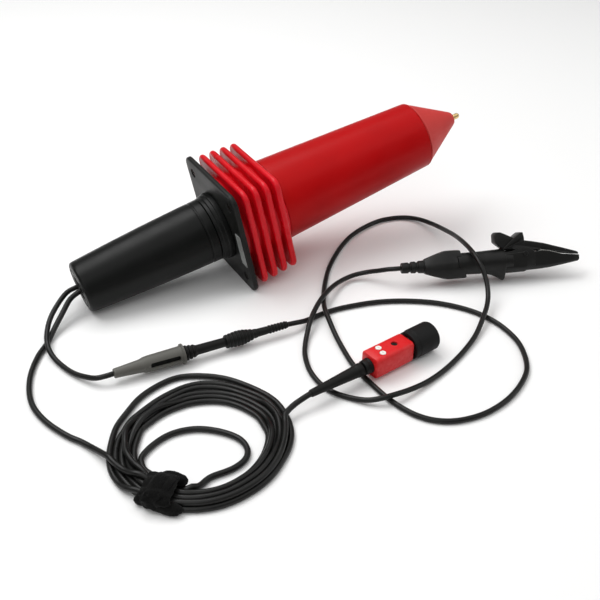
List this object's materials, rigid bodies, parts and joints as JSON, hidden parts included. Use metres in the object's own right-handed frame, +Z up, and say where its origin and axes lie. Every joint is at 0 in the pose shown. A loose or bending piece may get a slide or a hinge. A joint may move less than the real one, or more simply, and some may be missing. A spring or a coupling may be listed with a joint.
{
  "type": "high-voltage oscilloscope probe",
  "caption": "Hand-held high-voltage probe: tapered handle, square guard with fins, long barrel and cone tip, coiled signal cable to a BNC box, ground lead with clip.",
  "frame": {"origin": "under the middle of the probe body, on the surface it lies on", "axes": "+X along the probe body in plan, towards its tip; +Z up; +Y to the body's left"},
  "size_m": [0.4108, 0.274, 0.1007],
  "materials": {
    "handle": "satin black moulded plastic",
    "grommet": "matte black rubber",
    "guard_plate": "fine-grained black plastic",
    "screws": "dark, in counterbores",
    "fins": "glossy red moulded plastic",
    "barrel": "deep red semi-gloss tube",
    "cone": "matte lighter red plastic",
    "brass_tip": "turned brass",
    "brass_fittings": "plain brass",
    "ceramic": "glazed ceramic, ivory",
    "insulation": "white insulating plastic",
    "board": "green circuit board",
    "label": "blank metallised label",
    "grey_socket": "grey moulded plastic",
    "plated_contact": "nickel plated",
    "plug": "matte black overmoulding",
    "clip": "black insulating plastic with fine grain",
    "coax": "black cable jacket",
    "lead": "black silicone lead",
    "tie": "black hook-and-loop strap",
    "bnc_rubber": "black rubber boot",
    "box": "bright red moulded plastic",
    "trimmer": "white trimmer",
    "offset_trimmer": "dark recessed screw",
    "coupling": "matte black bayonet sleeve"
  },
  "bodies": {
    "root": {"handle_shell": "handle", "handle_collar": "handle", "cable_grommet": "grommet", "guard_plate": "guard_plate", "guard_screw_1": "screws", "guard_screw_2": "screws", "guard_screw_3": "screws", "guard_screw_4": "screws", "fin_guard": "fins", "barrel_shell": "barrel", "nose_cone": "cone", "probe_tip": "brass_tip", "tip_socket": "brass_fittings", "resistor_cap_front": "brass_fittings", "resistor_cap_rear": "brass_fittings", "resistor_rod": "ceramic", "resistor_tube": "insulation", "tube_spacer_front": "insulation", "tube_spacer_rear": "insulation", "divider_board": "board", "divider_resistor": "ceramic", "divider_capacitor": "brass_fittings", "cable_clamp": "plated_contact", "rating_label": "label", "plug_pin": "plated_contact", "plug_barrel": "plug", "plug_grip": "plug", "plug_relief": "plug", "clip_boot": "clip", "clip_block": "clip", "clip_body": "clip", "clip_hinge_pin": "plated_contact", "coax_coil": "coax", "coax_inner_loop": "coax", "coax_lead_in": "coax", "coax_lead_out": "coax", "coil_tie": "tie", "ground_lead": "lead", "ground_pigtail": "lead", "bnc_boot": "bnc_rubber", "bnc_neck": "bnc_rubber", "box_lower": "box", "box_upper": "box", "compensation_board": "board", "bnc_barrel": "plated_contact", "bnc_insulator": "insulation", "bnc_pin": "brass_fittings"},
    "socket": {"socket_shell": "grey_socket", "socket_sleeve": "plug"},
    "clip_jaw": {"clip_upper_jaw": "clip"},
    "coupling": {"bnc_collar": "coupling"},
    "low_trimmer": {"trimmer_low": "trimmer"},
    "high_trimmer": {"trimmer_high": "trimmer"},
    "offset_trimmer": {"trimmer_offset": "offset_trimmer"}
  },
  "joints": [
    {"name": "socket_pull", "type": "slide", "parent": "root", "child": "socket", "axis": [-0.9991, 0.0431, 0], "range_m": [0, 0.012], "deforming": ["ground_pigtail"]},
    {"name": "clip_open", "type": "hinge", "parent": "root", "child": "clip_jaw", "pos_m": [0.14571, -0.11292, 0.01898], "axis": [-0.3061, -0.8101, 0.5], "range_deg": [0, 11], "stiffness_Nm_per_rad": 0.4, "springref_deg": -28.65},
    {"name": "coupling_turn", "type": "hinge", "parent": "root", "child": "coupling", "pos_m": [0.01811, -0.15814, 0.0104], "axis": [0.9877, 0.1564, 0], "range_deg": [0, 90]},
    {"name": "trimmer_low_turn", "type": "hinge", "parent": "root", "child": "low_trimmer", "pos_m": [-0.01199, -0.15987, 0.0164], "axis": [0, 0, 1], "range_deg": [-135, 135]},
    {"name": "trimmer_high_turn", "type": "hinge", "parent": "root", "child": "high_trimmer", "pos_m": [-0.01227, -0.16579, 0.0164], "axis": [0, 0, 1], "range_deg": [-135, 135]},
    {"name": "trimmer_offset_turn", "type": "hinge", "parent": "root", "child": "offset_trimmer", "pos_m": [-0.0003, -0.16085, 0.0164], "axis": [0, 0, 1], "range_deg": [-135, 135]}
  ]
}
